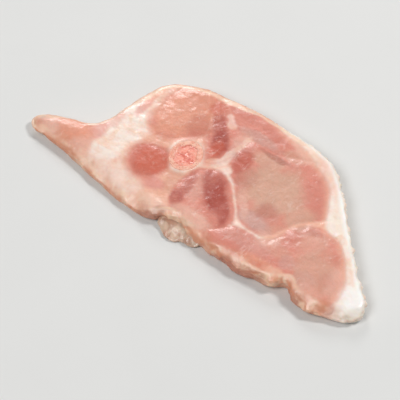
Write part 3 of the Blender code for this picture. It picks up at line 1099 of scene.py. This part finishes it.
# %% The bone ring
BONE_WALL = 2.5
BONE_LIP = 0.4  # radius of its edges
INNER_WALL = 5.4  # the inner wall's distance from the axis
ROUGH_WIDTH = 1.2  # how far to either side of a wall its roughness reaches


def rough_wall(points, radius, amount, size):
    """Moves points outwards or inwards from the bone's axis, near a wall of some radius."""
    from_axis = np.hypot(points[:, 0], points[:, 1])
    near = np.exp(-((from_axis - radius) / ROUGH_WIDTH) ** 2)
    push = amount * near * fractal(points * (1, 1, 0.5), size, 3, 6.0)
    points[:, :2] += points[:, :2] / from_axis[:, None] * push[:, None]
    return points


def chipped(points, amount, size, shift):
    """Noise for the points of a top face, and none below."""
    return amount * fractal(points, size, 3, shift) * (points[:, 2] > THICKNESS / 2)


ring_slab = flat_slab([bone_oval(0.1), bone_oval(-BONE_WALL)], BONE_TOP, BONE_LIP)
ring_mesh = fine_solid(ring_slab, spacing=FINE_GRAIN)
ring_points = rough_wall(points_of(ring_mesh), INNER_WALL, 0.9, 3.0)
ring_points[:, 2] += chipped(ring_points, 0.12, 2.5, 9.0)
ring = stand_in_scene("bone_ring", ring_mesh, ring_points, "femur_ring")

# %% [markdown]
# ## Bone's finish
#
# Fresh bone isn't white but salmon pink, because blood still fills its pores. Small Voronoi cells are
# the pores, darker and smoother inside, on a ground that shifts between two pinks.

# %% Cut bone
m = moist("cut_bone", 0.15, 0.002, coat_weight=0.3)
pores = m.ramp(m.cells(0.9, place=m.wandering(0.6, 1.0)), 0.12, 0.35)
bone = m.blend(colour(254, 195, 172), colour(243, 166, 142), m.ramp(m.noise(2.2), 0.35, 0.65))
m.feed(base_color=m.blend(colour(214, 122, 104), bone, 0.4 + 0.6 * pores), roughness=0.4 + 0.2 * pores)
m.bump(pores + m.noise(0.8), 0.12)
m.put_on(ring)

# %% [markdown]
# ## The marrow
#
# Marrow is soft and sits a little deeper than the bone around it, with a lumpy face. It is the same oval
# once more, slightly larger than the ring's inside, so that no gap opens along the uneven wall.

# %% The marrow
MARROW_BELOW = 0.2
MARROW_LAP = 0.7
marrow_slab = flat_slab([bone_oval(MARROW_LAP - BONE_WALL)], BONE_TOP - MARROW_BELOW, BONE_LIP)
marrow_mesh = fine_solid(marrow_slab, spacing=FINE_GRAIN)
marrow_points = points_of(marrow_mesh)
marrow_points[:, 2] += chipped(marrow_points, 0.3, 3.0, 2.0)
marrow = stand_in_scene("marrow", marrow_mesh, marrow_points, "femur_marrow")

# %% [markdown]
# ## Marrow's finish
#
# It is the reddest thing in the slice: clots of blood in pale pink fat, with a few lighter flecks of
# broken bone. The clots lie lower and shine more than the fat.

# %% Red marrow
m = moist("marrow", 0.12, coat_weight=0.5)
clots, flecks = m.ramp(m.noise(2.6, 3.0, 0.6), 0.45, 0.68), m.ramp(m.cells(1.3), 0.28, 0.12)
marrow_colour = m.blend(colour(255, 170, 150), colour(228, 116, 98), clots)
marrow_colour = m.blend(marrow_colour, colour(252, 204, 182), 0.6 * flecks)
m.feed(base_color=marrow_colour, roughness=0.50 - 0.15 * clots)
m.bump(m.noise(0.9) - 0.5 * clots, 0.25)
m.put_on(marrow)

# %% [markdown]
# ## The floor
#
# Wet meat shows its colours best on something plain and pale. The floor is far larger than the view, so
# that it has no edge, and its grey shifts by so little that it reads as smooth card.

# %% Floor
FLOOR_SIDE = 8.0  # metres
bpy.ops.mesh.primitive_plane_add(size=FLOOR_SIDE, location=(0, 0, 0))
floor = bpy.context.active_object
floor.name = "floor"
m = Finish("floor", roughness=0.6)
m.feed(base_color=m.blend(colour(226, 226, 224), colour(222, 222, 220), m.noise(40.0)))
m.put_on(floor)
floor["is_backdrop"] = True

# %% [markdown]
# ## Light
#
# Three soft lamps and a dim white surround. The key light comes from the right and behind, the fill light
# from the front, and the back light grazes the top from the left. No lamp stands where the flat top would
# mirror it to the camera, because that lays a white veil over all colours. Together they light the top
# to about the brightness of its own colours.

# %% Soft studio light
SURROUND_STRENGTH = 0.18
world = bpy.data.worlds.new("studio")
bpy.context.scene.world = world
world.use_nodes = True
surround = world.node_tree.nodes["Background"]
surround.inputs["Color"].default_value = (1.0, 1.0, 1.0, 1.0)
surround.inputs["Strength"].default_value = SURROUND_STRENGTH


def softbox(name, place, size, power):
    """A round lamp that points at the slice; place and size in metres, power in watts."""
    light = bpy.data.lights.new(name, "AREA")
    light.shape = "DISK"
    light.size = size
    light.energy = power
    lamp = bpy.data.objects.new(name, light)
    bpy.context.scene.collection.objects.link(lamp)
    lamp.location = place
    lamp.rotation_euler = (-Vector(place)).to_track_quat("-Z", "Y").to_euler()
    print(name, "has", power, "watts")


softbox("key", (0.55, 0.75, 1.05), 0.35, 9.2)
softbox("back", (-0.75, 0.85, 0.62), 0.4, 4.0)
softbox("fill", (-0.3, -0.9, 1.2), 0.9, 11.5)

# %% [markdown]
# ## The camera
#
# It looks down on the slice from its near side, a little more from above than from the side, with a long
# lens from well over a metre away. A long lens keeps the far edge nearly as large as the near one.

# %% Camera
AZIMUTH, ELEVATION, DISTANCE = 36.7, 50.0, 1.667  # degrees, degrees and metres
SENSOR, LENS = 36.0, 340.0  # millimetres
TARGET = Vector((-0.001, -0.01846, 0.008))
camera_data = bpy.data.cameras.new("camera")
camera_data.sensor_width = SENSOR
camera_data.lens = LENS
camera_data.clip_start = 0.05
camera_data.clip_end = 50.0
camera = bpy.data.objects.new("camera", camera_data)
bpy.context.scene.collection.objects.link(camera)
bpy.context.scene.camera = camera
around, above = math.radians(AZIMUTH), math.radians(ELEVATION)
back = Vector((math.sin(around) * math.cos(above), -math.cos(around) * math.cos(above), math.sin(above)))
camera.location = TARGET + back * DISTANCE
camera.rotation_mode = "QUATERNION"
camera.rotation_quaternion = (-back).to_track_quat("-Z", "Y")
bpy.context.scene.view_settings.view_transform = "Standard"
print("the camera stands at", [round(value, 3) for value in camera.location], "m")

# %% [markdown]
# ## Sizes, and the end
#
# The fine surfaces may swell past the plain model only by a hair. The box of all the pieces is measured,
# and its sides are printed.

# %% Sizes and finish
new_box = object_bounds()
sides = [round(side / MM, 1) for side in new_box[1] - new_box[0]]
print("with its fine surfaces it measures", sides, "mm")
